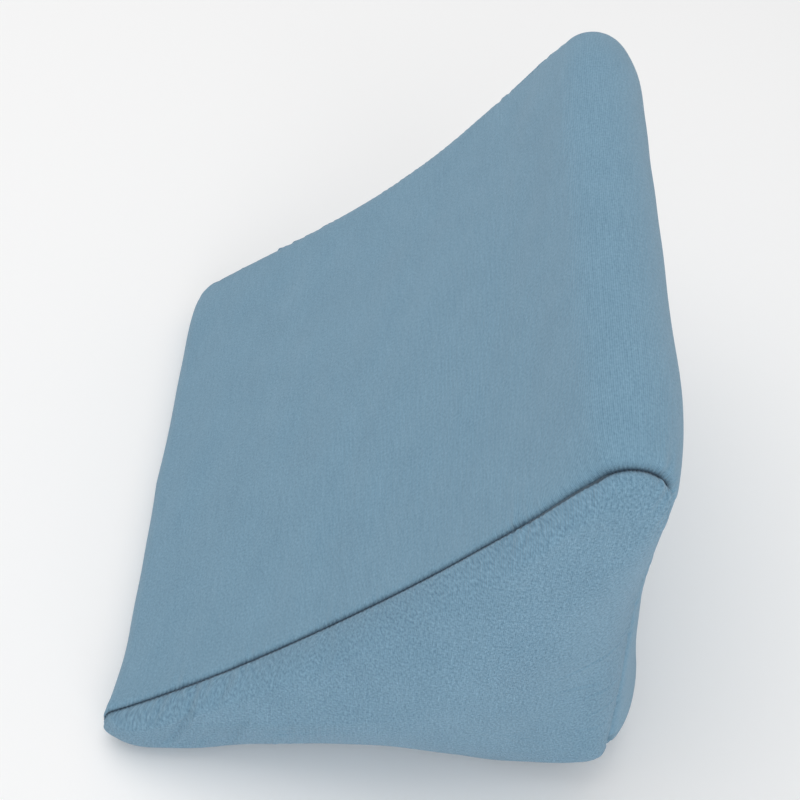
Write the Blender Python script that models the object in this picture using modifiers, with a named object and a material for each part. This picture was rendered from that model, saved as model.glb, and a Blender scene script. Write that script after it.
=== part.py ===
"""A wedge pillow in a sewn cloth cover, lying on its base.

The cover has three cut pieces. One long panel wraps round the slope, the rounded peak, the
back, the heel and the base, and closes round the thin toe. A three-cornered panel is sewn
into each end of it. The filling makes the slope, the back and both ends swell, while the
seams hold the edges in between the corners.

Frame: metres, +Z up, +X from the toe to the tall back, Y across the pillow. The origin is
the middle of the underside, and Y = 0 is the plane of symmetry.
"""

import math
from typing import NamedTuple

import bmesh
import bpy

# Driving sizes of the end view, in metres: a corner is a round of the given radius
LENGTH = 0.3860
TOE_RADIUS = 0.0184
TOE_FLARE = 0.0046
PEAK_RADIUS = 0.0325
PEAK_CENTRE_X = 0.1350
PEAK_CENTRE_Z = 0.3152
HEEL_RADIUS = 0.0375

# Width between the seams at the corners, and the width over which the wrap rolls to its seam
SEAM_WIDTH = 0.4400
ROLL_WIDTH = 0.0780
ROLL_TURN = math.radians(75.0)

# Swell of the wrap in the middle of the pillow, and of an end panel beyond its seam
SLOPE_SWELL = 0.0060
BACK_SWELL = 0.0050
PANEL_RISE = 0.0220
PANEL_RISE_SHARE = 0.22
PANEL_CROWN = 0.0170
PANEL_CENTRE_X = 0.0340
PANEL_CENTRE_Z = 0.1050

# An end panel's cloth, how far its edge is tucked into the seam, and the free gap round it
PANEL_THICKNESS = 0.0030
SEAM_TUCK = 0.0015
SEAM_GAP = 0.0003
LAY_GAP = 0.0004

# Each side of the end view, clockwise from the toe. The turns say how far, in degrees, the
# side bends inwards of the straight line at its start and end, and the pulls how long it
# keeps those directions. Drawn is how far its seam is pulled towards the middle of the
# pillow's width, and inset how far the seam lies below the wrap's own face.
SIDES = {
    "slope": {"start_turn": 10.2, "end_turn": 15.6, "start_pull": 1.30, "end_pull": 0.88,
              "drawn": 0.0070, "inset": 0.0002, "swell": SLOPE_SWELL, "steps": 13},
    "back": {"start_turn": -5.5, "end_turn": 7.2, "start_pull": 1.06, "end_pull": 1.25,
             "drawn": 0.0238, "inset": 0.0156, "swell": BACK_SWELL, "steps": 10},
    "base": {"start_turn": 0.0, "end_turn": 0.0, "start_pull": 1.00, "end_pull": 1.00,
             "drawn": 0.0300, "inset": 0.0030, "swell": 0.0, "steps": 10},
}

# Each corner: its seam's inset, and the steps of its round
CORNERS = {
    "toe": {"inset": 0.0, "steps": 8},
    "peak": {"inset": 0.0115, "steps": 8},
    "heel": {"inset": 0.0270, "steps": 6},
}

# How much of a side next to a corner still follows the corner's inset, how much of it still
# follows the corner's flatter end panel, and how far along X the toe's flare reaches
CORNER_REACH = 0.30
CORNER_FLATNESS_REACH = 0.50
FLARE_REACH = 0.0860

# How round a side's drawn-in edge is: 1 keeps a bend at each corner, 2 runs out smoothly
DRAWN_POWER = 1.3

# Rows of the loft: across the middle, round the roll, and in to the middle of an end panel
MIDDLE_ROWS = 4
ROLL_ROWS = 6
PANEL_ROWS = (0.02, 0.06, 0.12, 0.22, 0.40, 0.66)

WRAP_COLOUR = (0.205, 0.337, 0.447, 1.0)
PANEL_COLOUR = (0.190, 0.315, 0.420, 1.0)
MERGE_DISTANCE = 0.0001


class OutlinePoint(NamedTuple):
    """A point of the end view with its outward direction and what its seam does there."""

    x: float
    z: float
    out_x: float
    out_z: float
    drawn: float
    inset: float
    swell: float
    flatness: float


def fading(distance, reach):
    """Give a weight that falls smoothly from 1 at a corner to 0 at a reach from it."""
    return max(0.0, 1 - distance / reach) ** 2


def corner_rounds():
    """Give centre x, centre z and radius of the toe, the peak and the heel, in this order."""
    toe_x = -LENGTH / 2 + TOE_FLARE + TOE_RADIUS
    heel_x = LENGTH / 2 - HEEL_RADIUS
    return [
        (toe_x, TOE_RADIUS, TOE_RADIUS),
        (PEAK_CENTRE_X, PEAK_CENTRE_Z, PEAK_RADIUS),
        (heel_x, HEEL_RADIUS, HEEL_RADIUS),
    ]


def tangent_direction(start, end):
    """Give the outward angle of the straight line that touches two corner rounds."""
    dx, dz = end[0] - start[0], end[1] - start[1]
    return math.atan2(dz, dx) + math.acos((start[2] - end[2]) / math.hypot(dx, dz))


def round_point(corner, angle):
    """Give the point of a corner's round in the direction of an angle."""
    return (corner[0] + corner[2] * math.cos(angle), corner[1] + corner[2] * math.sin(angle))


def side_points(start, end, side, start_inset, end_inset):
    """Follow one side of the end view as a cubic curve between two corner rounds."""
    straight = tangent_direction(start, end)
    leave = straight - math.radians(side["start_turn"])
    join = straight + math.radians(side["end_turn"])
    first = round_point(start, leave)
    last = round_point(end, join)
    third = math.dist(first, last) / 3
    pull = third * side["start_pull"]
    handle_1 = (first[0] + pull * math.sin(leave), first[1] - pull * math.cos(leave))
    pull = third * side["end_pull"]
    handle_2 = (last[0] - pull * math.sin(join), last[1] + pull * math.cos(join))
    points = []
    for step in range(side["steps"]):
        t = step / side["steps"]
        weights = ((1 - t) ** 3, 3 * (1 - t) ** 2 * t, 3 * (1 - t) * t ** 2, t ** 3)
        slopes = ((1 - t) ** 2, 2 * (1 - t) * t, t ** 2)
        legs = ((first, handle_1), (handle_1, handle_2), (handle_2, last))
        x, z = (
            sum(w * p[k] for w, p in zip(weights, (first, handle_1, handle_2, last)))
            for k in range(2)
        )
        run_x, run_z = (sum(s * (b[k] - a[k]) for s, (a, b) in zip(slopes, legs)) for k in range(2))
        size = math.hypot(run_x, run_z)
        near_start = fading(t, CORNER_REACH)
        near_end = fading(1 - t, CORNER_REACH)
        flatness = fading(t, CORNER_FLATNESS_REACH) + fading(1 - t, CORNER_FLATNESS_REACH)
        inset = side["inset"] * (1 - near_start - near_end)
        inset += start_inset * near_start + end_inset * near_end
        arch = math.sin(math.pi * t)
        points.append(OutlinePoint(
            x, z, -run_z / size, run_x / size,
            side["drawn"] * arch ** DRAWN_POWER, inset, side["swell"] * arch ** 2, flatness,
        ))
    return points


def corner_points(corner, first_angle, last_angle, inset, steps):
    """Follow one corner's round clockwise from the side before it to the side after it."""
    sweep = (first_angle - last_angle) % (2 * math.pi)
    points = []
    for step in range(steps):
        angle = first_angle - sweep * step / steps
        x, z = round_point(corner, angle)
        points.append(OutlinePoint(x, z, math.cos(angle), math.sin(angle), 0.0, inset, 0.0, 1.0))
    return points


def end_view():
    """Give the closed outline of the pillow's middle, clockwise from the toe's upper side."""
    rounds = corner_rounds()
    insets = [corner["inset"] for corner in CORNERS.values()]
    sides = list(SIDES.values())
    corners = list(CORNERS.values())
    points = []
    for here in range(3):
        there = (here + 1) % 3
        after = (here + 2) % 3
        start, end = rounds[here], rounds[there]
        points += side_points(start, end, sides[here], insets[here], insets[there])
        join = tangent_direction(start, end) + math.radians(sides[here]["end_turn"])
        leave = tangent_direction(end, rounds[after])
        leave -= math.radians(sides[there]["start_turn"])
        corner = corners[there]
        points += corner_points(end, join, leave, insets[there], corner["steps"])
    return points


def middle_row(outline, share):
    """Place the outline across the flat middle: share 0 is the symmetry plane, 1 the roll."""
    row = []
    for point in outline:
        half = SEAM_WIDTH / 2 - ROLL_WIDTH - point.drawn
        lift = point.swell * (1 - share ** 2)
        z = max(point.z + point.out_z * lift, 0.0)
        row.append((point.x + point.out_x * lift, -half * share, z))
    return row


def rolled_row(outline, share):
    """Place the outline on the roll between the flat middle and the seam at share 1."""
    turn = ROLL_TURN * share
    ease = (1 - math.cos(turn)) / (1 - math.cos(ROLL_TURN))
    toe_x = -LENGTH / 2 + TOE_FLARE + TOE_RADIUS
    row = []
    for point in outline:
        toeward = max(0.0, toe_x + FLARE_REACH - point.x) / (FLARE_REACH + TOE_RADIUS)
        x = point.x - point.out_x * point.inset * ease - TOE_FLARE * toeward ** 2 * ease
        y = SEAM_WIDTH / 2 - ROLL_WIDTH - point.drawn + ROLL_WIDTH * math.sin(turn)
        z = max(point.z - point.out_z * point.inset * ease, 0.0)
        row.append((x, -y, z))
    return row


def pushed_in(row, depth):
    """Move a row of the near end towards the middle of the pillow by a depth."""
    return [(x, y + depth, z) for x, y, z in row]


def narrowed(row, gap):
    """Draw a seam row in by a gap, square to its own run in the end view."""
    count = len(row)
    result = []
    for index, (x, y, z) in enumerate(row):
        before, after = row[index - 1], row[(index + 1) % count]
        run_x, run_z = after[0] - before[0], after[2] - before[2]
        size = math.hypot(run_x, run_z)
        result.append((x + gap * run_z / size, y, z - gap * run_x / size))
    return result


def panel_row(edge, outline, share):
    """Shrink an end panel's edge towards its middle by a share, and raise it by its crown."""
    level = sum(y for _, y, _ in edge) / len(edge)
    steep = min(share / PANEL_RISE_SHARE, 1.0)
    rise = PANEL_RISE * math.sqrt(1 - (1 - steep) ** 2)
    arched = 1 - (1 - share) ** 2
    eased = share ** 2 * (3 - 2 * share)
    row = []
    for (x, y, z), point in zip(edge, outline):
        crown = PANEL_CROWN * (arched + (eased - arched) * point.flatness)
        row.append((
            x + (PANEL_CENTRE_X - x) * share,
            level + (y - level) * (1 - share) ** 3 - rise - crown,
            z + (PANEL_CENTRE_Z - z) * share,
        ))
    return row


def panel_rows(edge, outline):
    """Give the rows of an end panel's face from its edge inwards, without the middle point."""
    return [edge] + [panel_row(edge, outline, share) for share in PANEL_ROWS]


def add_row(mesh, points):
    """Add one closed ring of edges to a mesh."""
    verts = [mesh.verts.new(point) for point in points]
    return [mesh.edges.new((vert, verts[k - 1])) for k, vert in enumerate(verts)]


def loft(mesh, rows):
    """Join a series of rings with faces and give the first and the last ring's edges."""
    rings = [add_row(mesh, row) for row in rows]
    for ring, following in zip(rings, rings[1:]):
        bmesh.ops.bridge_loops(mesh, edges=ring + following)
    return rings[0], rings[-1]


def close_with_point(mesh, ring, point):
    """Close a ring of edges with a fan of faces that meet in one point."""
    fan = bmesh.ops.extrude_edge_only(mesh, edges=ring)["geom"]
    verts = [item for item in fan if isinstance(item, bmesh.types.BMVert)]
    bmesh.ops.pointmerge(mesh, verts=verts, merge_co=point)


def material(name, colour):
    """Make a plain brushed cloth material."""
    made = bpy.data.materials.new(name)
    made.use_nodes = True
    shader = made.node_tree.nodes["Principled BSDF"]
    shader.inputs["Base Color"].default_value = colour
    shader.inputs["Roughness"].default_value = 0.92
    shader.inputs["Metallic"].default_value = 0.0
    return made


def finish(mesh, name, surface, collection):
    """Turn faces outwards and keep the mesh as a smooth object of its own."""
    bmesh.ops.recalc_face_normals(mesh, faces=mesh.faces)
    data = bpy.data.meshes.new(name)
    mesh.to_mesh(data)
    mesh.free()
    data.shade_smooth()
    data.materials.append(surface)
    made = bpy.data.objects.new(name, data)
    collection.objects.link(made)
    return made


def add_filled_wedge(outline, collection):
    """Build the filled body with the wrap as its skin, as one half and its mirror image."""
    seam = rolled_row(outline, 1.0)
    depth = SEAM_TUCK + PANEL_THICKNESS + LAY_GAP
    rows = [middle_row(outline, k / MIDDLE_ROWS) for k in range(MIDDLE_ROWS)]
    rows += [rolled_row(outline, k / ROLL_ROWS) for k in range(ROLL_ROWS + 1)]
    rows.append(pushed_in(seam, depth))
    edge = pushed_in(narrowed(seam, SEAM_GAP), depth)
    rows += panel_rows(edge, outline)
    mesh = bmesh.new()
    _, last = loft(mesh, rows)
    close_with_point(mesh, last, panel_row(edge, outline, 1.0)[0])
    made = finish(mesh, "filled_wedge", material("wrap_cloth", WRAP_COLOUR), collection)
    mirror = made.modifiers.new("other_half", "MIRROR")
    mirror.use_axis = (False, True, False)
    mirror.merge_threshold = MERGE_DISTANCE
    return made


def add_side_panel(outline, name, side, collection):
    """Build a three-cornered end panel: side -1 for the near end, 1 for the far one."""
    edge = pushed_in(narrowed(rolled_row(outline, 1.0), SEAM_GAP), SEAM_TUCK)
    face = panel_rows(edge, outline)
    underside = [pushed_in(row, PANEL_THICKNESS) for row in face]
    mesh = bmesh.new()
    inner, outer = loft(mesh, underside[::-1] + face)
    middle = panel_row(edge, outline, 1.0)
    close_with_point(mesh, outer, middle[0])
    close_with_point(mesh, inner, pushed_in(middle, PANEL_THICKNESS)[0])
    bmesh.ops.scale(mesh, vec=(1.0, -side, 1.0), verts=mesh.verts)
    return finish(mesh, name, material(name + "_cloth", PANEL_COLOUR), collection)


def main():
    """Clear the scene and build the pillow."""
    for old in list(bpy.data.objects):
        bpy.data.objects.remove(old, do_unlink=True)
    collection = bpy.data.collections.new("wedge_pillow")
    bpy.context.scene.collection.children.link(collection)
    outline = end_view()
    add_filled_wedge(outline, collection)
    add_side_panel(outline, "near_side_panel", -1, collection)
    add_side_panel(outline, "far_side_panel", 1, collection)


main()
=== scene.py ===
"""Looks of a wedge pillow in a sewn cover of brushed heather-blue knit.

The cover's long panel wraps round the slope, the peak, the back, the heel and the base. A
three-cornered panel is sewn into each end of it, and the seam pulls the cloth into small
puckers. Both kinds of panel are modelled on the same end view, so that they meet at the
seam. Lengths are in metres. The near end of the pillow faces -Y, and its toe points to -X.
"""

from __future__ import annotations

import logging
import math
from dataclasses import dataclass, field
from enum import Enum

import bmesh
import bpy
import numpy as np
from mathutils import Matrix, Vector


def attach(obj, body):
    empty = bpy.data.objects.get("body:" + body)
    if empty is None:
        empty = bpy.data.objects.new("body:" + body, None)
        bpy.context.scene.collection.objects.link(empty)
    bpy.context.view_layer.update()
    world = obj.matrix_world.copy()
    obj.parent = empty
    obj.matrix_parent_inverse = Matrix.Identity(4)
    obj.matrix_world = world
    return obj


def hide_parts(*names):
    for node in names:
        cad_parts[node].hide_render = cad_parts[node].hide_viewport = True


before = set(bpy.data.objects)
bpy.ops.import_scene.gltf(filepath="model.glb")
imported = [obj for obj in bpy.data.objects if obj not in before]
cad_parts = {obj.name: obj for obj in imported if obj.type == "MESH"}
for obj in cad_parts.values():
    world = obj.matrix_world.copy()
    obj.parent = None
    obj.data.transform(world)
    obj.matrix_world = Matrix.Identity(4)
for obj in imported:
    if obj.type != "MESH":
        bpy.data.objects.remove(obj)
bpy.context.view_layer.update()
LOG = logging.getLogger("wedge_pillow")

MM = 0.001
# X of the toe's tip, where the seam is gathered most
TOE_TIP_X = -0.188
SEED = 3437
# Steps round the girth for the wrap and the seams, and for the side covers
WRAP_STEPS = 1200
COVER_STEPS = 980


class End(Enum):
    """The two ends of the pillow, each with the sign of its Y."""

    NEAR = -1
    FAR = 1

    @property
    def label(self) -> str:
        """Name the end for objects and reports."""
        return self.name.lower()


# End view


@dataclass(frozen=True)
class Corner:
    """One rounded corner of the end view: its round and how deep its seam lies."""

    x: float
    z: float
    radius: float
    inset: float


@dataclass(frozen=True)
class Side:
    """One side of the end view between two corners.

    The turns are in degrees and say how far the side bends inwards of the straight line at
    its start and end, and the pulls how long it keeps those directions.
    """

    start_turn: float
    end_turn: float
    start_pull: float
    end_pull: float
    drawn: float
    inset: float
    swell: float


@dataclass
class Outline:
    """Samples of the end view at even steps of its girth, clockwise, first one repeated."""

    x: np.ndarray
    z: np.ndarray
    out_x: np.ndarray
    out_z: np.ndarray
    drawn: np.ndarray
    inset: np.ndarray
    swell: np.ndarray
    flatness: np.ndarray
    arc: np.ndarray
    girth: float

    @property
    def out(self) -> np.ndarray:
        """Give the outward direction of each sample as rows of x, y, z."""
        return np.stack([self.out_x, np.zeros_like(self.out_x), self.out_z], axis=-1)


def fading(distance: np.ndarray, reach: float) -> np.ndarray:
    """Give a weight that falls smoothly from 1 at no distance to 0 at a reach."""
    return np.maximum(0.0, 1 - distance / reach) ** 2


@dataclass(frozen=True)
class EndView:
    """The pillow's outline seen along its width, as the filled solid has it."""

    length: float = 0.3860
    toe_radius: float = 0.0184
    toe_flare: float = 0.0046
    flare_reach: float = 0.0860
    peak: Corner = Corner(0.1350, 0.3152, 0.0325, 0.0115)
    heel_radius: float = 0.0375
    heel_inset: float = 0.0270
    sides: tuple[Side, Side, Side] = (
        Side(10.2, 15.6, 1.30, 0.88, 0.0070, 0.0002, 0.0060),
        Side(-5.5, 7.2, 1.06, 1.25, 0.0238, 0.0156, 0.0050),
        Side(0.0, 0.0, 1.00, 1.00, 0.0300, 0.0030, 0.0),
    )
    corner_reach: float = 0.30
    flatness_reach: float = 0.50
    drawn_power: float = 1.3
    shoulder: float = 0.0045
    shoulder_back: float = 0.0060
    shoulder_reach: float = 0.0380
    steps_of_side: int = 500
    steps_of_corner: int = 200

    @property
    def toe_x(self) -> float:
        """Give the X of the toe round's centre."""
        return -self.length / 2 + self.toe_flare + self.toe_radius

    def corners(self) -> list[Corner]:
        """Give the toe, the peak and the heel, in this order."""
        toe = Corner(self.toe_x, self.toe_radius, self.toe_radius, 0.0)
        heel_x = self.length / 2 - self.heel_radius
        heel = Corner(heel_x, self.heel_radius, self.heel_radius, self.heel_inset)
        return [toe, self.peak, heel]

    @staticmethod
    def tangent(start: Corner, end: Corner) -> float:
        """Give the outward angle of the straight line that touches two corner rounds."""
        dx, dz = end.x - start.x, end.z - start.z
        return math.atan2(dz, dx) + math.acos((start.radius - end.radius) / math.hypot(dx, dz))

    def follow_side(self, start: Corner, end: Corner, side: Side) -> np.ndarray:
        """Follow a side as a cubic curve.

        Args:
            start: The corner that the side leaves.
            end: The corner that the side joins.
            side: The side's bends, pulls and seam.

        Returns:
            Columns in the order of Outline's fields, from x to flatness.
        """
        straight = self.tangent(start, end)
        leave = straight - math.radians(side.start_turn)
        join = straight + math.radians(side.end_turn)
        first = np.array([start.x, start.z]) + start.radius * direction(leave)
        last = np.array([end.x, end.z]) + end.radius * direction(join)
        third = np.linalg.norm(last - first) / 3
        handle_1 = first + third * side.start_pull * np.array([math.sin(leave), -math.cos(leave)])
        handle_2 = last - third * side.end_pull * np.array([math.sin(join), -math.cos(join)])
        t = np.linspace(0, 1, self.steps_of_side, endpoint=False)[:, None]
        point = (1 - t) ** 3 * first + 3 * (1 - t) ** 2 * t * handle_1
        point = point + 3 * (1 - t) * t ** 2 * handle_2 + t ** 3 * last
        run = (1 - t) ** 2 * (handle_1 - first) + 2 * (1 - t) * t * (handle_2 - handle_1)
        run = run + t ** 2 * (last - handle_2)
        run /= np.linalg.norm(run, axis=1, keepdims=True)
        t = t[:, 0]
        near_start, near_end = fading(t, self.corner_reach), fading(1 - t, self.corner_reach)
        inset = side.inset * (1 - near_start - near_end)
        inset = inset + start.inset * near_start + end.inset * near_end
        flatness = fading(t, self.flatness_reach) + fading(1 - t, self.flatness_reach)
        arch = np.sin(math.pi * t)
        return np.stack([
            point[:, 0], point[:, 1], -run[:, 1], run[:, 0],
            side.drawn * arch ** self.drawn_power, inset, side.swell * arch ** 2, flatness,
        ], axis=1)

    def follow_corner(self, corner: Corner, first: float, last: float) -> np.ndarray:
        """Follow a corner's round clockwise.

        Args:
            corner: The corner.
            first: The outward angle where the round starts, in radians.
            last: The outward angle where it ends.

        Returns:
            Columns in the order of Outline's fields, from x to flatness.
        """
        sweep = (first - last) % (2 * math.pi)
        angle = first - sweep * np.linspace(0, 1, self.steps_of_corner, endpoint=False)
        cos, sin = np.cos(angle), np.sin(angle)
        zero, one = np.zeros_like(cos), np.ones_like(cos)
        x, z = corner.x + corner.radius * cos, corner.z + corner.radius * sin
        return np.stack([x, z, cos, sin, zero, corner.inset * one, zero, one], axis=1)

    def trace(self, count: int) -> Outline:
        """Sample the closed outline evenly, from the middle of the base round by the toe.

        Args:
            count: How many steps to take round the girth.

        Returns:
            The samples, one more than the steps, because the last repeats the first.
        """
        corners = self.corners()
        runs = []
        for here, side in enumerate(self.sides):
            start, end, after = (corners[(here + k) % 3] for k in range(3))
            runs.append(self.follow_side(start, end, side))
            join = self.tangent(start, end) + math.radians(side.end_turn)
            following = self.sides[(here + 1) % 3]
            leave = self.tangent(end, after) - math.radians(following.start_turn)
            runs.append(self.follow_corner(end, join, leave))
        columns = np.concatenate(runs + [runs[0][:1]])
        steps = np.hypot(np.diff(columns[:, 0]), np.diff(columns[:, 1]))
        arc = np.concatenate([[0.0], np.cumsum(steps)])
        top = arc[self.steps_of_side] - self.shoulder_back
        fuller = self.shoulder * np.exp(-((arc - top) / self.shoulder_reach) ** 2)
        columns[:, 0] += columns[:, 2] * fuller
        columns[:, 1] += columns[:, 3] * fuller
        girth = float(arc[-1])
        before_base = 2 * (self.steps_of_side + self.steps_of_corner)
        start_arc = arc[before_base + self.steps_of_side // 2]
        places = np.linspace(0.0, girth, count + 1)
        wanted = (start_arc + places) % girth
        wanted[-1] = wanted[0]
        sampled = [np.interp(wanted, arc, column) for column in columns.T]
        run_x = np.roll(sampled[0][:-1], -1) - np.roll(sampled[0][:-1], 1)
        run_z = np.roll(sampled[1][:-1], -1) - np.roll(sampled[1][:-1], 1)
        size = np.hypot(run_x, run_z)
        sampled[2] = np.append(-run_z / size, -run_z[0] / size[0])
        sampled[3] = np.append(run_x / size, run_x[0] / size[0])
        return Outline(*sampled, arc=places, girth=girth)


def direction(angle: float) -> np.ndarray:
    """Give the unit vector of an angle in the end view's plane."""
    return np.array([math.cos(angle), math.sin(angle)])


# Smooth variation


@dataclass
class Ripple:
    """Smooth random variation round the girth, which closes on itself."""

    waves: np.ndarray
    phases: np.ndarray
    girth: float

    @classmethod
    def drawn(cls, rng: np.random.Generator, girth: float, shortest: float,
              longest: float, count: int = 14) -> "Ripple":
        """Draw waves between two wavelengths.

        Args:
            rng: The seeded source of random values.
            girth: The length after which the ripple repeats.
            shortest: The shortest wavelength.
            longest: The longest wavelength.
            count: How many waves are added up.

        Returns:
            The ripple, with a spread of about 1.
        """
        lengths = np.exp(rng.uniform(math.log(shortest), math.log(longest), count))
        waves = np.maximum(1, np.round(girth / lengths))
        return cls(waves, rng.uniform(0, 2 * math.pi, count), girth)

    def at(self, arc: np.ndarray) -> np.ndarray:
        """Give the ripple, about -1 to 1, at places round the girth."""
        turns = 2 * math.pi * np.multiply.outer(arc / self.girth, self.waves) + self.phases
        return np.cos(turns).sum(axis=-1) * math.sqrt(2 / len(self.waves))


@dataclass
class Swells:
    """Smooth random variation over a flat field, for soft lumps of the filling."""

    vectors: np.ndarray
    phases: np.ndarray

    @classmethod
    def drawn(cls, rng: np.random.Generator, shortest: float, longest: float,
              count: int = 16) -> "Swells":
        """Draw waves between two wavelengths in random directions.

        Args:
            rng: The seeded source of random values.
            shortest: The shortest wavelength.
            longest: The longest wavelength.
            count: How many waves are added up.

        Returns:
            The field, with a spread of about 1.
        """
        lengths = np.exp(rng.uniform(math.log(shortest), math.log(longest), count))
        angles = rng.uniform(0, math.pi, count)
        vectors = np.stack([np.cos(angles), np.sin(angles)]) * (2 * math.pi / lengths)
        return cls(vectors, rng.uniform(0, 2 * math.pi, count))

    def at(self, first: np.ndarray, second: np.ndarray) -> np.ndarray:
        """Give the variation at places of the field."""
        turns = first[..., None] * self.vectors[0] + second[..., None] * self.vectors[1]
        return np.cos(turns + self.phases).sum(axis=-1) * math.sqrt(2 / len(self.phases))


# Seam


@dataclass
class Seam:
    """How the sewn seam pulls the cloth on both sides of it, and the shade painted beside it."""

    rng: np.random.Generator
    outline: Outline
    pitch: float = 3.6 * MM
    bite: float = 0.30 * MM
    lip: float = 0.45 * MM
    lip_place: float = 6.5 * MM
    pucker: float = 0.32 * MM
    pucker_start: float = 2.5 * MM
    pucker_reach: float = 9.0 * MM
    pucker_shift: float = 2.0 * MM
    plain_share: float = 0.75
    fine_pucker: float = 0.16 * MM
    fine_start: float = 1.0 * MM
    fine_place: float = 2.0 * MM
    fine_reach: float = 3.2 * MM
    fine_shift: float = 0.31
    stitch_drift: float = 0.6
    drift_pace: int = 3
    turned_in: float = 2.8 * MM
    half_gap: float = 0.40 * MM
    gap_reach: float = 6.0 * MM
    toe_reach: float = 24.0 * MM
    deep_inset: float = 11.5 * MM
    side_depth: float = 1.35 * MM
    toe_depth: float = 2.6 * MM
    corner_depth: float = 1.5 * MM
    side_width: float = 2.0 * MM
    toe_width: float = 2.2 * MM
    wrap_corner_width: float = 2.4 * MM
    panel_corner_width: float = 0.6 * MM
    uneven: float = 0.35
    toe_gather: float = 0.9
    corner_gather: float = 0.7
    # Reach of the painted shade beside the seam, and how much each stitch widens it
    shade_reach: float = 0.9 * MM
    tick_reach: float = 0.7 * MM
    fine: Ripple = field(init=False)
    coarse: Ripple = field(init=False)
    strength: Ripple = field(init=False)

    def __post_init__(self) -> None:
        """Draw the seam's puckers and fit a whole number of stitches round it."""
        girth = self.outline.girth
        self.pitch = girth / round(girth / self.pitch)
        self.fine = Ripple.drawn(self.rng, girth, 5.5 * MM, 9 * MM)
        self.coarse = Ripple.drawn(self.rng, girth, 10 * MM, 24 * MM)
        self.strength = Ripple.drawn(self.rng, girth, 40 * MM, 160 * MM)

    def corner_weights(self, outline: Outline) -> tuple[np.ndarray, np.ndarray]:
        """Say where the corners are.

        Args:
            outline: The end view's samples.

        Returns:
            How much each place belongs to the toe, and to the peak, back and heel.
        """
        toe = np.exp(-((outline.x - TOE_TIP_X) / self.toe_reach) ** 2)
        rounded = np.clip(outline.inset / self.deep_inset, 0, 1) ** 1.5
        return toe, rounded

    def gather(self, outline: Outline) -> np.ndarray:
        """Say how strongly each place of the girth is gathered.

        Args:
            outline: The end view's samples.

        Returns:
            Weights, about 1 on the long sides.
        """
        toe, rounded = self.corner_weights(outline)
        along = np.clip(1 + self.uneven * self.strength.at(outline.arc), 0.3, 1.8)
        return along * (1 + self.toe_gather * toe + self.corner_gather * rounded)

    def depth(self, outline: Outline) -> np.ndarray:
        """Give how deep the seam lies at each place of the girth."""
        toe, rounded = self.corner_weights(outline)
        return self.side_depth + self.toe_depth * toe + self.corner_depth * rounded

    def sink(self, outline: Outline, distance: np.ndarray, side: float) -> np.ndarray:
        """Give how far the cloth is pulled in near the seam.

        Args:
            outline: The end view's samples, as columns.
            distance: The cloth's distance from the seam, rows by columns.
            side: 1 on the wrap and -1 on the end panel, which pucker in turn.

        Returns:
            Depths below the smooth surface, rows by columns.
        """
        arc = outline.arc
        toe, rounded = self.corner_weights(outline)
        gather = self.gather(outline)
        corner_width = self.wrap_corner_width if side > 0 else self.panel_corner_width
        width = self.side_width + self.toe_width * toe + corner_width * rounded
        drift = self.stitch_drift * self.strength.at(arc * self.drift_pace)
        stitch = self.bite * np.cos(2 * math.pi * arc / self.pitch + drift)
        groove = (self.depth(outline) + stitch) * np.exp(-(distance / width) ** 2)
        shoulder = distance / self.lip_place
        groove = groove - self.lip * shoulder * np.exp(1 - shoulder)
        short = np.exp(-((distance - self.fine_place) / self.fine_reach) ** 2)
        short = short * (1 - np.exp(-distance / self.fine_start))
        reach = self.pucker_reach * np.clip(gather, 0.6, 1.8)
        long = np.exp(-(distance / reach) ** 2) * (1 - np.exp(-distance / self.pucker_start))
        fine = self.fine.at(arc + side * self.fine_shift * self.pitch) * self.fine_pucker
        coarse = self.coarse.at(arc + side * self.pucker_shift) * self.pucker
        return groove + gather * fine * short + (gather - self.plain_share) * coarse * long

    def shade(self, outline: Outline, distance: np.ndarray, side: float) -> np.ndarray:
        """Give painted shade for the light that the nap and the stitches keep off the seam's sides.

        Args:
            outline: The end view's samples, as columns.
            distance: The cloth's distance from the seam, rows by columns.
            side: 1 on the wrap and -1 on the end panel.

        Returns:
            Values from 0 to 1, rows by columns.
        """
        ticks = 0.5 + 0.5 * np.cos(2 * math.pi * outline.arc / self.pitch + side)
        reach = self.shade_reach + self.tick_reach * ticks * self.gather(outline)
        return np.exp(-(distance / reach) ** 2)


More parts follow.
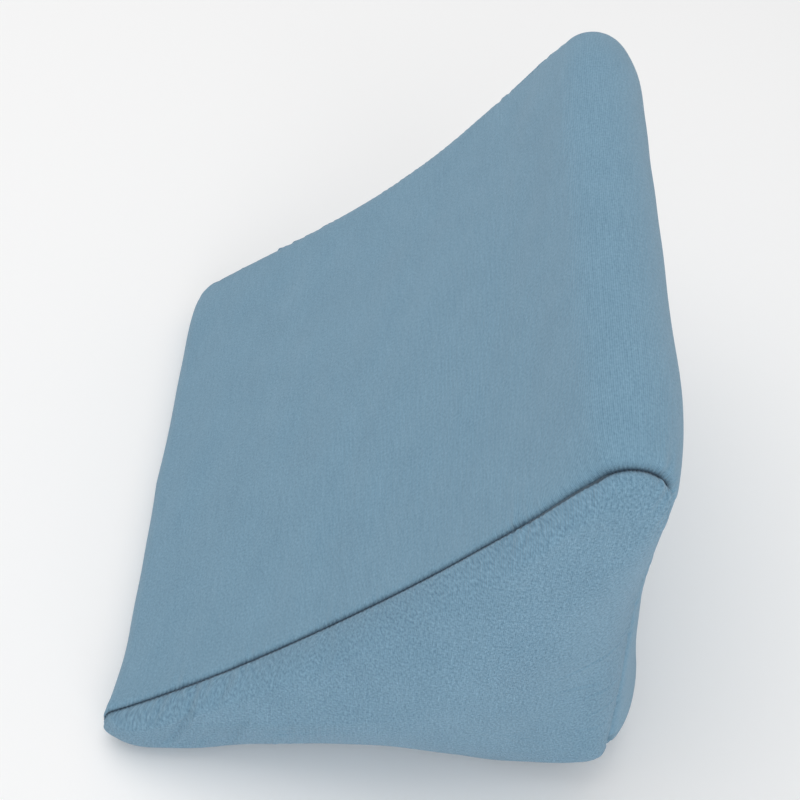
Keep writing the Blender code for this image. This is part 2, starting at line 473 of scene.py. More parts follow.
@dataclass(frozen=True)
class Crease:
    """A crease pressed into an end panel, drawn on its x and z.

    A ridge runs along the path, and a trough lies beside it, to the right when it is looked
    at from its start to its end. The path, heights and width are in millimetres, the trough's
    place and spread in widths, and the fades in shares of the path's length.
    """

    path: tuple[tuple[float, float], ...]
    ridge: float
    trough: float
    width: float
    fade_in: float = 0.15
    fade_out: float = 0.35
    trough_place: float = 1.7
    trough_spread: float = 1.15

    def height(self, x: np.ndarray, z: np.ndarray) -> np.ndarray:
        """Give the crease's height over the smooth panel, in metres.

        Args:
            x: X of the panel's points, in metres.
            z: Z of the panel's points, in metres.

        Returns:
            Heights, positive outwards.
        """
        points = np.array(self.path) * MM
        lengths = np.linalg.norm(np.diff(points, axis=0), axis=1)
        before = np.concatenate([[0.0], np.cumsum(lengths)])
        nearest = np.full(x.shape, np.inf)
        offset, along = np.zeros(x.shape), np.zeros(x.shape)
        for start, end, done, length in zip(points, points[1:], before, lengths):
            run = (end - start) / length
            step = np.clip((x - start[0]) * run[0] + (z - start[1]) * run[1], 0, length)
            dx, dz = x - start[0] - step * run[0], z - start[1] - step * run[1]
            distance = np.hypot(dx, dz)
            closer = distance < nearest
            nearest = np.where(closer, distance, nearest)
            offset = np.where(closer, np.sign(dx * run[1] - dz * run[0]) * distance, offset)
            along = np.where(closer, (done + step) / before[-1], along)
        ends = np.clip(along / self.fade_in, 0, 1) * np.clip((1 - along) / self.fade_out, 0, 1)
        ends = ends * ends * (3 - 2 * ends)
        width = self.width * MM
        ridge = self.ridge * MM * np.exp(-(offset / width) ** 2)
        beside = (offset - self.trough_place * width) / (self.trough_spread * width)
        trough = self.trough * MM * np.exp(-beside ** 2)
        return ends * (ridge - trough)


# Sheets of cloth


def surface_normals(points: np.ndarray) -> np.ndarray:
    """Give the unit normal of each point of a sheet that closes on itself sideways.

    Args:
        points: Rows by columns of x, y, z, where the last column repeats the first.

    Returns:
        Unit vectors in the same layout.
    """
    around = np.empty_like(points)
    around[:, 1:-1] = points[:, 2:] - points[:, :-2]
    around[:, 0] = around[:, -1] = points[:, 1] - points[:, -2]
    normal = np.cross(around, np.gradient(points, axis=0))
    size = np.linalg.norm(normal, axis=-1, keepdims=True)
    return normal / np.maximum(size, 1e-12)


def blended_normals(points: np.ndarray, at_seam: np.ndarray, away: np.ndarray,
                    turned_over: float = 7 * MM) -> np.ndarray:
    """Give a sheet's normals, turned smoothly into the seam's own direction at its edge.

    Args:
        points: Rows by columns of x, y, z, from the seam inwards.
        at_seam: The outward direction at the seam, one for each column.
        away: Distances from the seam, rows by columns.
        turned_over: The distance over which the direction turns.

    Returns:
        Outward unit vectors in the layout of the points.
    """
    outward = surface_normals(points)
    outward *= np.sign((outward * at_seam).sum(axis=-1)[:1].mean())
    share = np.clip(away / turned_over, 0, 1)[..., None]
    outward = outward * share + at_seam * (1 - share)
    return outward / np.maximum(np.linalg.norm(outward, axis=-1, keepdims=True), 1e-9)


def run_lengths(points: np.ndarray) -> np.ndarray:
    """Give each point's distance down its column from the first row."""
    steps = np.linalg.norm(np.diff(points, axis=0), axis=-1)
    return np.concatenate([np.zeros((1, points.shape[1])), np.cumsum(steps, axis=0)])


def sheet_mesh(name: str, points: np.ndarray, flat: np.ndarray,
               shade: np.ndarray) -> bpy.types.Mesh:
    """Lay a grid of cloth over points and close it where its borders meet.

    Args:
        name: The mesh's name.
        points: Rows by columns of x, y, z. The first and the last row are poles.
        flat: Rows by columns of the cloth's own flat coordinates, in metres.
        shade: Painted shade, rows by columns: 1 where the cloth lies down in the seam, else 0.

    Returns:
        A closed mesh with a UV map in metres and the painted shade as an attribute.
    """
    rows, columns = points.shape[:2]
    mesh = bmesh.new()
    mesh.loops.layers.uv.new("cloth")
    bmesh.ops.create_grid(mesh, x_segments=columns - 1, y_segments=rows - 1, size=1, calc_uvs=True)
    data = bpy.data.meshes.new(name)
    mesh.to_mesh(data)
    mesh.free()
    data.vertices.foreach_set("co", points.reshape(-1, 3).ravel())
    corners = np.empty(len(data.loops), dtype=np.int32)
    data.loops.foreach_get("vertex_index", corners)
    data.uv_layers["cloth"].data.foreach_set("uv", flat.reshape(-1, 2)[corners].ravel())
    # The seam's painted shade, kept on the points for the material
    painted_seam_shade = data.attributes.new("painted_seam_shade", "FLOAT", "POINT")
    painted_seam_shade.data.foreach_set("value", shade.ravel())
    mesh = bmesh.new()
    mesh.from_mesh(data)
    mesh.verts.ensure_lookup_table()
    poles = [mesh.verts[k] for k in range(columns)]
    poles += [mesh.verts[(rows - 1) * columns + k] for k in range(columns)]
    sides = [mesh.verts[row * columns + k] for row in range(1, rows - 1) for k in (0, columns - 1)]
    bmesh.ops.remove_doubles(mesh, verts=poles + sides, dist=1e-6)
    bmesh.ops.recalc_face_normals(mesh, faces=mesh.faces)
    mesh.to_mesh(data)
    mesh.free()
    data.shade_smooth()
    return data


def add_piece(data: bpy.types.Mesh, finish: bpy.types.Material) -> bpy.types.Object:
    """Place a mesh in the scene at the origin and dress it.

    Args:
        data: The piece's mesh.
        finish: Its material.

    Returns:
        The piece, riding on the pillow's body.
    """
    data.materials.append(finish)
    piece = bpy.data.objects.new(data.name, data)
    bpy.context.scene.collection.objects.link(piece)
    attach(piece, "root")
    return piece


@dataclass(frozen=True)
class EndForm:
    """How one end of the body swells.

    rise, rise_share and crown give the end panel's dome. flare moves the toe's corner
    outwards, toe_tuck draws the end panel in behind the toe, and follow, per metre, keeps on
    the wrap's slope past the body's edge where no seam lies on it.
    """

    rise: float
    rise_share: float
    crown: float
    flare: float
    toe_tuck: float
    follow: float


@dataclass
class Pillow:
    """The smooth surfaces that both kinds of panel are cut to."""

    view: EndView = field(default_factory=EndView)
    seam_width: float = 0.4400
    toe_waist: float = 0.0022
    roll_width: float = 0.0780
    roll_turn: float = math.radians(75.0)
    panel_centre: tuple[float, float] = (0.0340, 0.1050)
    panel_run: float = 0.1120
    far_slide: float = 0.0170
    forms: dict[End, EndForm] = field(default_factory=lambda: {
        End.NEAR: EndForm(0.0190, 0.16, 0.0210, 0.0072, 0.0052, 0.0),
        End.FAR: EndForm(0.0220, 0.22, 0.0170, -0.0060, 0.0, 64.6),
    })
    flare_power: float = 1.3
    tuck_reach: float = 30.0 * MM
    tuck_start: float = 4.0 * MM
    follow_reach: float = 12.0 * MM
    slide_from_back: float = 0.10
    slide_from_slope: float = -0.50
    slide_over: float = 0.55
    normal_step: float = 1.5 * MM
    backing_runs: tuple[float, ...] = (9 * MM, 25 * MM, 60 * MM, 112 * MM)

    @property
    def flat_half(self) -> float:
        """Give half the width between the rolls."""
        return self.seam_width / 2 - self.roll_width

    @property
    def roll_span(self) -> float:
        """Give how far a roll reaches along the width."""
        return self.roll_width * math.sin(self.roll_turn)

    @property
    def seam_half(self) -> float:
        """Give the seam's distance from the middle at the corners."""
        return self.flat_half + self.roll_span

    def wrap(self, outline: Outline, end: End, from_seam: np.ndarray) -> np.ndarray:
        """Give the wrap's smooth surface on one half, placed as the near half.

        Args:
            outline: The end view's samples.
            end: The end that the half belongs to.
            from_seam: Distances from the body's edge along the width, rows by columns or 1.

        Returns:
            Rows by columns of x, y, z.
        """
        distance = np.maximum(from_seam, 0.0)
        rolled = np.clip(1 - distance / self.roll_span, 0, 1)
        turn = np.arcsin(rolled * math.sin(self.roll_turn))
        ease = (1 - np.cos(turn)) / (1 - math.cos(self.roll_turn))
        share = np.clip((self.seam_half - distance) / self.flat_half, 0, 1)
        reach = self.view.flare_reach
        toeward = np.maximum(0, self.view.toe_x + reach - outline.x)
        toeward = (toeward / (reach + self.view.toe_radius)) ** 2
        lift = outline.swell * (1 - share ** 2) - outline.inset * ease
        flare = self.forms[end].flare * ease ** self.flare_power
        waist = self.toe_waist * np.sin(math.pi * np.clip(1 - distance / self.seam_half, 0, 1))
        x = outline.x + outline.out_x * lift - (flare - waist) * toeward
        y = -(self.flat_half - outline.drawn) * share - self.roll_span * rolled
        z = np.maximum(outline.z + outline.out_z * lift, 0.0)
        return np.stack([x, y, z], axis=-1)

    def end_panel(self, outline: Outline, end: End, run: np.ndarray) -> np.ndarray:
        """Give an end's smooth surface, from the body's edge to the middle of the end.

        Args:
            outline: The end view's samples.
            end: The end of the pillow, which is placed as the near one.
            run: Distances in from the body's edge on a typical column, rows by columns or 1.

        Returns:
            Rows by columns of x, y, z.
        """
        form = self.forms[end]
        edge = self.wrap(outline, end, np.zeros((1, 1)))[0]
        quarter = form.rise * math.pi / 2
        run = np.maximum(run, 0.0)
        bend = np.clip(run / form.rise, 0, math.pi / 2)
        beyond = np.clip((run - quarter) / (self.panel_run - quarter), 0, 1)
        share = form.rise_share * (1 - np.cos(bend)) + (1 - form.rise_share) * beyond
        rise = form.rise * np.sin(bend)
        arched = 1 - (1 - share) ** 2
        eased = share ** 2 * (3 - 2 * share)
        crown = form.crown * (arched + (eased - arched) * outline.flatness)
        level = edge[:-1, 1].mean()
        toe = np.exp(-((outline.x - TOE_TIP_X) / self.tuck_reach) ** 2)
        draw = form.toe_tuck * toe * (1 - np.exp(-run / self.tuck_start)) * (1 - share) ** 2
        draw = draw + form.follow * outline.inset * run * np.exp(-run / self.follow_reach)
        x = edge[:, 0] + (self.panel_centre[0] - edge[:, 0]) * share - outline.out_x * draw
        y = level + (edge[:, 1] - level) * (1 - share) ** 3 - rise - crown
        z = edge[:, 2] + (self.panel_centre[1] - edge[:, 2]) * share - outline.out_z * draw
        return np.stack([x, y, np.maximum(z, 0.0)], axis=-1)

    def slide(self, outline: Outline, end: End) -> np.ndarray:
        """Give how far the wrap reaches over the body's edge onto an end.

        The photo shows the near seam on the edge, and none on the far edge of the slope,
        where the wrap must reach over.

        Args:
            outline: The end view's samples.
            end: The end of the pillow.

        Returns:
            One distance for each sample.
        """
        if end is End.NEAR:
            return np.zeros_like(outline.x)
        lowest = np.where(outline.x > 0, self.slide_from_back, self.slide_from_slope)
        upper = np.clip((outline.out_z - lowest) / self.slide_over, 0, 1)
        return self.far_slide * upper * upper * (3 - 2 * upper)

    def body(self, outline: Outline, end: End, place: np.ndarray) -> np.ndarray:
        """Give one half of the whole smooth body, placed as the near half.

        Args:
            outline: The end view's samples.
            end: The end that the half belongs to.
            place: Distances past the body's edge, rows by columns: negative on the wrap's
                side of it and positive on the end's.

        Returns:
            Rows by columns of x, y, z.
        """
        on_end = (place > 0)[..., None]
        beyond = self.end_panel(outline, end, place)
        return np.where(on_end, beyond, self.wrap(outline, end, -place))

    def wrap_rows(self, outline: Outline, end: End, from_seam: np.ndarray) -> np.ndarray:
        """Give the wrap's smooth rows from one seam to the middle of the pillow.

        Args:
            outline: The end view's samples.
            end: The end that the seam belongs to.
            from_seam: The rows' distances from the seam.

        Returns:
            Rows by columns of x, y, z.
        """
        share = 1 - from_seam[:, None] / self.seam_half
        place = self.slide(outline, end) * share ** 2 - from_seam[:, None]
        return self.body(outline, end, place)

    def end_rows(self, outline: Outline, end: End, run: np.ndarray) -> np.ndarray:
        """Give an end panel's smooth rows from its seam to its middle.

        Args:
            outline: The end view's samples.
            end: The end of the pillow.
            run: The rows' distances from the seam on a typical column.

        Returns:
            Rows by columns of x, y, z.
        """
        slide = self.slide(outline, end)
        place = slide + run[:, None] * (1 - slide / self.panel_run)
        return self.end_panel(outline, end, place)

    def seam_normal(self, outline: Outline, end: End) -> np.ndarray:
        """Give the outward direction of the body at a seam, one row of unit vectors."""
        steps = np.array([[-1.0], [0.0], [1.0]]) * self.normal_step
        return -surface_normals(self.body(outline, end, self.slide(outline, end) + steps))[1]

    def backing(self, outline: Outline, end: End, depth: float) -> np.ndarray:
        """Give hidden rows that close a panel behind the end panel.

        Args:
            outline: The end view's samples.
            end: The end of the pillow.
            depth: How far the rows lie behind the end panel's face.

        Returns:
            Rows by columns of x, y, z, from seam to middle.
        """
        rows = self.end_rows(outline, end, np.array(self.backing_runs))
        rows[..., 1] += depth
        return rows


def graded(first: float, last: float, count: int, power: float) -> np.ndarray:
    """Give distances between two values that are closest together at the first."""
    return first + (last - first) * np.linspace(0, 1, count) ** power


# Pieces


@dataclass
class WrapPanel:
    """The long panel of the cover with the filling under it, closed behind the end panels."""

    pillow: Pillow
    outline: Outline
    seams: dict[End, Seam]
    rng: np.random.Generator
    rows_by_seam: int = 26
    rows_of_middle: int = 12
    seam_band: float = 75.0 * MM
    crowding: float = 1.7
    closing_depth: float = 9.0 * MM
    lump: float = 0.35 * MM
    lump_widths: tuple[float, float] = (55.0 * MM, 170.0 * MM)
    lump_margin: float = 40.0 * MM
    lump_floor: float = 12.0 * MM
    finish_slot: str = "wrap_cloth"

    def half(self, end: End) -> tuple[np.ndarray, np.ndarray, np.ndarray]:
        """Shape one half of the panel, from its seam to the middle.

        Args:
            end: The end of the pillow that the half belongs to.

        Returns:
            Rows by columns of x, y, z, of flat coordinates and of the seam's painted shade.
        """
        pillow, outline, seam = self.pillow, self.outline, self.seams[end]
        near_seam = graded(0.0, self.seam_band, self.rows_by_seam, self.crowding)
        middle = np.linspace(self.seam_band, pillow.seam_half, self.rows_of_middle + 1)[1:]
        smooth = pillow.wrap_rows(outline, end, np.concatenate([near_seam, middle]))
        away = run_lengths(smooth)
        normals = blended_normals(smooth, pillow.seam_normal(outline, end), away)
        points = smooth - normals * seam.sink(outline, away, 1.0)[..., None]
        points[..., 1] += seam.half_gap * np.exp(-away / seam.gap_reach)
        points[..., 2] = np.maximum(points[..., 2], 0.0)
        flat = np.stack([np.broadcast_to(outline.arc, away.shape), away], axis=-1)
        points[..., 1] *= -end.value
        flat[..., 1] = end.value * (away[-1:] - away)
        return points, flat, seam.shade(outline, away, 1.0)

    def closing(self, end: End, border: np.ndarray) -> np.ndarray:
        """Close one end behind the end panel.

        Args:
            end: The end of the pillow.
            border: The sheet's row at the seam.

        Returns:
            Rows from the pole out to the turned-in border.
        """
        seam = self.seams[end]
        rows = self.pillow.backing(self.outline, end, self.closing_depth)[::-1]
        normal = self.pillow.seam_normal(self.outline, end)
        rows[..., 1] *= -end.value
        turned = border - normal * (1, -end.value, 1) * seam.turned_in
        turned[:, 2] = np.maximum(turned[:, 2], 0.0)
        return np.concatenate([rows, turned[None]])

    def build(self, finish: bpy.types.Material) -> bpy.types.Object:
        """Model the panel and dress it.

        Args:
            finish: The cloth's material.

        Returns:
            The finished piece.
        """
        near, near_flat, near_shade = self.half(End.NEAR)
        far, far_flat, far_shade = self.half(End.FAR)
        near_close = self.closing(End.NEAR, near[0])
        far_close = self.closing(End.FAR, far[0])
        points = np.concatenate([near_close, near, far[-2::-1], far_close[::-1]])
        hidden_near = np.repeat(near_flat[:1], len(near_close), axis=0)
        hidden_far = np.repeat(far_flat[:1], len(far_close), axis=0)
        flat = np.concatenate([hidden_near, near_flat, far_flat[-2::-1], hidden_far])
        self.swell_softly(points)
        # Painted shade of the seams, full on the hidden closings
        shade = np.concatenate([
            np.ones(near_close.shape[:2]), near_shade, far_shade[-2::-1],
            np.ones(far_close.shape[:2]),
        ])
        piece = add_piece(sheet_mesh("wrap_panel", points, flat, shade), finish)
        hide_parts("filled_wedge")
        return piece

    def swell_softly(self, points: np.ndarray) -> None:
        """Let the filling press soft lumps into the middle of the sheet.

        Args:
            points: Rows by columns of x, y, z, which are moved in place.
        """
        lumps = Swells.drawn(self.rng, *self.lump_widths)
        height = self.lump * lumps.at(points[..., 0] + points[..., 2], points[..., 1])
        seam_half = self.pillow.seam_half
        fade = np.clip((seam_half - np.abs(points[..., 1])) / self.lump_margin, 0, 1)
        above = np.clip(points[..., 2] / self.lump_floor, 0, 1)
        points += self.outline.out * (height * fade * above)[..., None]
        points[..., 2] = np.maximum(points[..., 2], 0.0)


@dataclass
class SideCover:
    """A three-cornered end panel, domed by the filling, with its creases."""

    pillow: Pillow
    outline: Outline
    seam: Seam
    end: End
    creases: tuple[Crease, ...]
    rng: np.random.Generator
    rows_by_seam: int = 30
    rows_of_rim: int = 54
    rows_of_middle: int = 11
    seam_band: float = 26.0 * MM
    rim_band: float = 64.0 * MM
    crowding: float = 1.5
    thickness: float = 5.0 * MM
    clearance: float = 0.3 * MM
    crease_start: float = 2.2 * MM
    lump: float = 0.35 * MM
    lump_widths: tuple[float, float] = (45.0 * MM, 140.0 * MM)
    lump_margin: float = 25.0 * MM
    finish_slot: str = "side_cloth"

    def build(self, finish: bpy.types.Material) -> bpy.types.Object:
        """Model the panel and dress it.

        Args:
            finish: The cloth's material.

        Returns:
            The finished piece.
        """
        pillow, outline, seam = self.pillow, self.outline, self.seam
        runs = np.concatenate([
            graded(0.0, self.seam_band, self.rows_by_seam, self.crowding),
            np.linspace(self.seam_band, self.rim_band, self.rows_of_rim + 1)[1:],
            np.linspace(self.rim_band, pillow.panel_run, self.rows_of_middle + 1)[1:],
        ])
        smooth = pillow.end_rows(outline, self.end, runs)
        away = run_lengths(smooth)
        normals = blended_normals(smooth, pillow.seam_normal(outline, self.end), away)
        normals[-1] = (0.0, -1.0, 0.0)
        points = smooth - normals * seam.sink(outline, away, -1.0)[..., None]
        points += normals * self.relief(smooth, away)[..., None]
        points[..., 1] -= seam.half_gap * np.exp(-away / seam.gap_reach)
        turned = points[0] - pillow.seam_normal(outline, self.end) * seam.turned_in
        hidden = pillow.backing(outline, self.end, self.thickness)[::-1]
        rows = np.concatenate([hidden, turned[None], points])
        rows[..., 2] = np.maximum(rows[..., 2], self.clearance)
        flat = self.laid_flat(smooth, away)
        flat = np.concatenate([np.repeat(flat[:1], len(hidden) + 1, axis=0), flat])
        # Painted shade of the seam, full on the hidden rows
        shade = seam.shade(outline, away, -1.0)
        shade = np.concatenate([np.ones((len(hidden) + 1, shade.shape[1])), shade])
        rows[..., 1] *= -self.end.value
        name = f"{self.end.label}_side_cover"
        piece = add_piece(sheet_mesh(name, rows, flat, shade), finish)
        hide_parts(f"{self.end.label}_side_panel")
        return piece

    def laid_flat(self, smooth: np.ndarray, away: np.ndarray) -> np.ndarray:
        """Lay the domed panel flat round its middle, each column at its own length.

        Args:
            smooth: Rows by columns of x, y, z.
            away: Distances from the seam, rows by columns.

        Returns:
            Rows by columns of flat coordinates.
        """
        middle = smooth[-1, :, ::2]
        spoke = smooth[0, :, ::2] - middle
        spoke /= np.linalg.norm(spoke, axis=-1, keepdims=True)
        return middle + spoke * (away[-1] - away)[..., None]

    def relief(self, smooth: np.ndarray, away: np.ndarray) -> np.ndarray:
        """Give the height of the panel's creases and soft lumps over the smooth surface.

        Args:
            smooth: Rows by columns of x, y, z.
            away: Distances from the seam, rows by columns.

        Returns:
            Heights, positive outwards.
        """
        x, z = smooth[..., 0], smooth[..., 2]
        lumps = Swells.drawn(self.rng, *self.lump_widths)
        height = self.lump * lumps.at(x, z) * np.clip(away / self.lump_margin, 0, 1)
        past_seam = 1 - np.exp(-(away / self.crease_start) ** 2)
        for crease in self.creases:
            height = height + crease.height(x, z) * past_seam
        return height


@dataclass
class SeamThread:
    """The row of stitches that shows as ticks in the bottom of a seam."""

    pillow: Pillow
    outline: Outline
    seam: Seam
    end: End
    rng: np.random.Generator
    length: float = 2.7 * MM
    radius: float = 0.36 * MM
    bury: float = 0.10 * MM
    dip: float = 0.40 * MM
    tilt: float = 0.22
    rings: int = 6
    sides: int = 6
    samples: int = 4
    finish_slot: str = "side_cloth"

    def build(self, finish: bpy.types.Material) -> bpy.types.Object:
        """Model every stitch of the seam as one short, bent thread.

        Args:
            finish: The thread's material.

        Returns:
            The finished piece.
        """
        count = round(self.outline.girth / self.seam.pitch)
        outline = self.pillow.view.trace(count * self.samples)
        normal = self.pillow.seam_normal(outline, self.end)
        edge = self.pillow.wrap_rows(outline, self.end, np.zeros(1))
        sink = self.seam.sink(outline, np.zeros(edge.shape[:2]), 1.0)
        line = (edge - normal * (sink + self.bury)[..., None])[0]
        template = self.stitch_form()
        form = np.array([vert.co for vert in template.vertices])
        mesh = bmesh.new()
        for _ in range(count):
            mesh.from_mesh(template)
        data = bpy.data.meshes.new(f"{self.end.label}_seam_thread")
        mesh.to_mesh(data)
        mesh.free()
        here = np.arange(count) * self.samples + self.samples // 2
        run = line[here + 1] - line[here - 1]
        run /= np.linalg.norm(run, axis=1, keepdims=True)
        up = normal[here]
        across = np.cross(run, up)
        tilt = self.rng.uniform(-self.tilt, self.tilt, count)[:, None]
        run, across = run + across * tilt, across - run * tilt
        places = line[here][:, None] + form[:, :1] * run[:, None] + form[:, 1:2] * across[:, None]
        places = places + form[:, 2:] * up[:, None]
        places[..., 1] *= -self.end.value
        data.vertices.foreach_set("co", places.ravel())
        data.shade_smooth()
        self.turn_outwards(data)
        piece = add_piece(data, finish)
        return piece

    def stitch_form(self) -> bpy.types.Mesh:
        """Model one stitch: a rounded rod along X whose ends dip into the cloth."""
        mesh = bmesh.new()
        bmesh.ops.create_uvsphere(mesh, u_segments=self.sides, v_segments=self.rings, radius=1.0)
        for vert in mesh.verts:
            lengthwise = vert.co.z
            dip = self.dip * lengthwise ** 4
            vert.co = (lengthwise * self.length / 2, vert.co.x * self.radius,
                       vert.co.y * self.radius - dip)
        made = bpy.data.meshes.new("stitch")
        mesh.to_mesh(made)
        mesh.free()
        return made

    @staticmethod
    def turn_outwards(data: bpy.types.Mesh) -> None:
        """Turn the faces of a mesh outwards."""
        mesh = bmesh.new()
        mesh.from_mesh(data)
        bmesh.ops.recalc_face_normals(mesh, faces=mesh.faces)
        mesh.to_mesh(data)
        mesh.free()


# Finishes


Colour = tuple[float, float, float, float]
Scale = tuple[float, float, float]


@dataclass(frozen=True)
class KnitFinish:
    """A brushed heather knit: two yarn colours, and how much each pattern shows in it."""

    name: str
    light: tuple[float, float, float]
    dark: tuple[float, float, float]
    wale: float
    streak: float
    grain: float
    mottle: float
    lint: float
    relief: float
    roughness: float
    sheen: float
    sheen_roughness: float = 0.45
    specular: float = 0.15


@dataclass(frozen=True)
class ThreadFinish:
    """A sewing thread with a twist, dark partly of itself and partly as painted seam shade."""

    name: str
    colour: tuple[float, float, float]
    roughness: float
    shadow: float = 0.55
    twist_scale: float = 2600.0


class Nodes:
    """Places nodes in a tree and links them with short calls."""

    def __init__(self, tree: bpy.types.NodeTree) -> None:
        """Keep the tree that nodes are added to."""
        self.tree = tree
        self.column = 0

    def add(self, kind: str, inputs: dict | None = None, **settings) -> bpy.types.Node:
        """Add a node.

        Args:
            kind: The node's type.
            inputs: Values or sockets by the name or number of the input.
            settings: Attributes of the node.

        Returns:
            The node.
        """
        node = self.tree.nodes.new(kind)
        node.location = (self.column * 180, 0)
        self.column += 1
        for name, value in settings.items():
            setattr(node, name, value)
        for name, value in (inputs or {}).items():
            if isinstance(value, bpy.types.NodeSocket):
                self.tree.links.new(value, node.inputs[name])
            else:
                node.inputs[name].default_value = value
        return node

    def math(self, operation: str, first: bpy.types.NodeSocket | float,
             second: bpy.types.NodeSocket | float = 0.0,
             third: bpy.types.NodeSocket | float = 0.0) -> bpy.types.NodeSocket:
        """Add a Math node of two or three values and give its result."""
        node = self.add("ShaderNodeMath", {0: first, 1: second, 2: third}, operation=operation)
        return node.outputs[0]

    def noise(self, vector: bpy.types.NodeSocket, stretch: tuple[float, float, float],
              detail: float = 2.0) -> bpy.types.NodeSocket:
        """Add noise over stretched coordinates.

        Args:
            vector: The coordinates, in metres.
            stretch: How many features fit in a metre, along each axis.
            detail: How many finer layers are added.

        Returns:
            The noise as -1 to 1.
        """
        moved = self.add("ShaderNodeVectorMath", {0: vector, 1: stretch}, operation="MULTIPLY")
        noise = self.add("ShaderNodeTexNoise", {
            "Vector": moved.outputs[0], "Scale": 1.0, "Detail": detail, "Roughness": 0.55,
        }, noise_dimensions="3D")
        return self.math("MULTIPLY_ADD", noise.outputs[0], 2.0, -1.0)

    def blend(self, share: bpy.types.NodeSocket, first: bpy.types.NodeSocket | Colour,
              second: bpy.types.NodeSocket | Colour) -> bpy.types.NodeSocket:
        """Mix two colours, from the first at a share of 0 to the second at 1."""
        inputs = {0: share, 6: first, 7: second}
        return self.add("ShaderNodeMix", inputs, data_type="RGBA").outputs[2]


